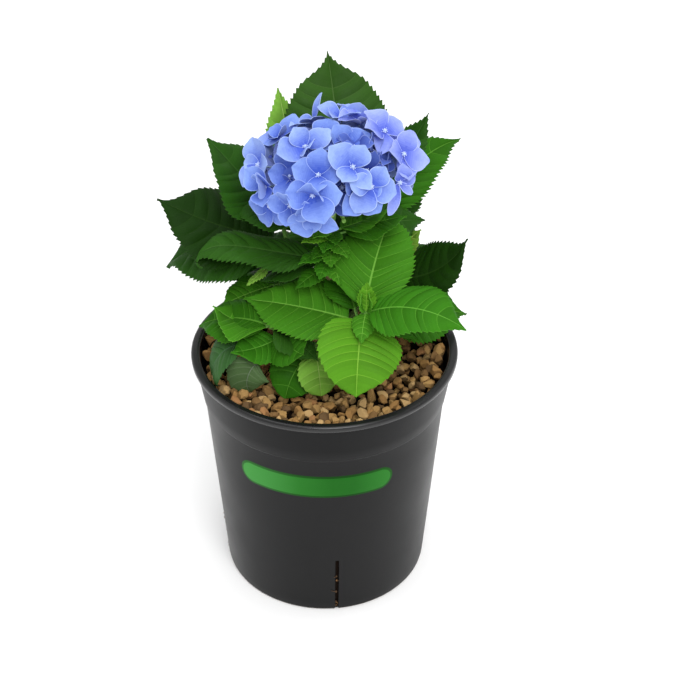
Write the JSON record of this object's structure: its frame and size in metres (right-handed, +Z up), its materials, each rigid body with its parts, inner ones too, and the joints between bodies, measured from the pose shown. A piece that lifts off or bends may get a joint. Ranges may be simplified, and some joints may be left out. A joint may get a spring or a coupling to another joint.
{
  "type": "potted hydrangea",
  "caption": "Leafy hydrangea shrub with one round blue-violet flower head, growing from gravel in a black tapered nursery pot with a rolled lip.",
  "frame": {"origin": "middle of the pot's flat underside", "axes": "+Z up through the plant, +X to the viewer's right, -Y towards the front that the picture shows"},
  "size_m": [0.252, 0.2628, 0.4354],
  "materials": {
    "pot": "satin moulded black plastic",
    "gravel": "dry rough brown stones",
    "stem": "rough young bark",
    "cane": "green speckled bark",
    "leaf": "satin veined leaf",
    "flower": "soft matte petal"
  },
  "bodies": {
    "root": {"pot": "pot", "gravel_bed": "gravel", "main_stem": "stem", "front_cane": "cane", "left_cane": "cane", "right_cane": "cane", "back_cane": "cane", "back_left_cane": "cane", "right_back_cane": "cane", "low_back_cane": "cane", "low_back_left_cane": "cane", "low_left_cane": "cane", "low_front_cane": "cane", "crown_shoot": "leaf", "front_shoot": "leaf", "left_shoot": "leaf", "right_shoot": "leaf", "back_shoot": "leaf", "back_left_shoot": "leaf", "right_back_shoot": "leaf", "low_back_shoot": "leaf", "low_back_left_shoot": "leaf", "low_left_shoot": "leaf", "low_front_shoot": "leaf", "flower_head": "flower"}
  },
  "joints": []
}
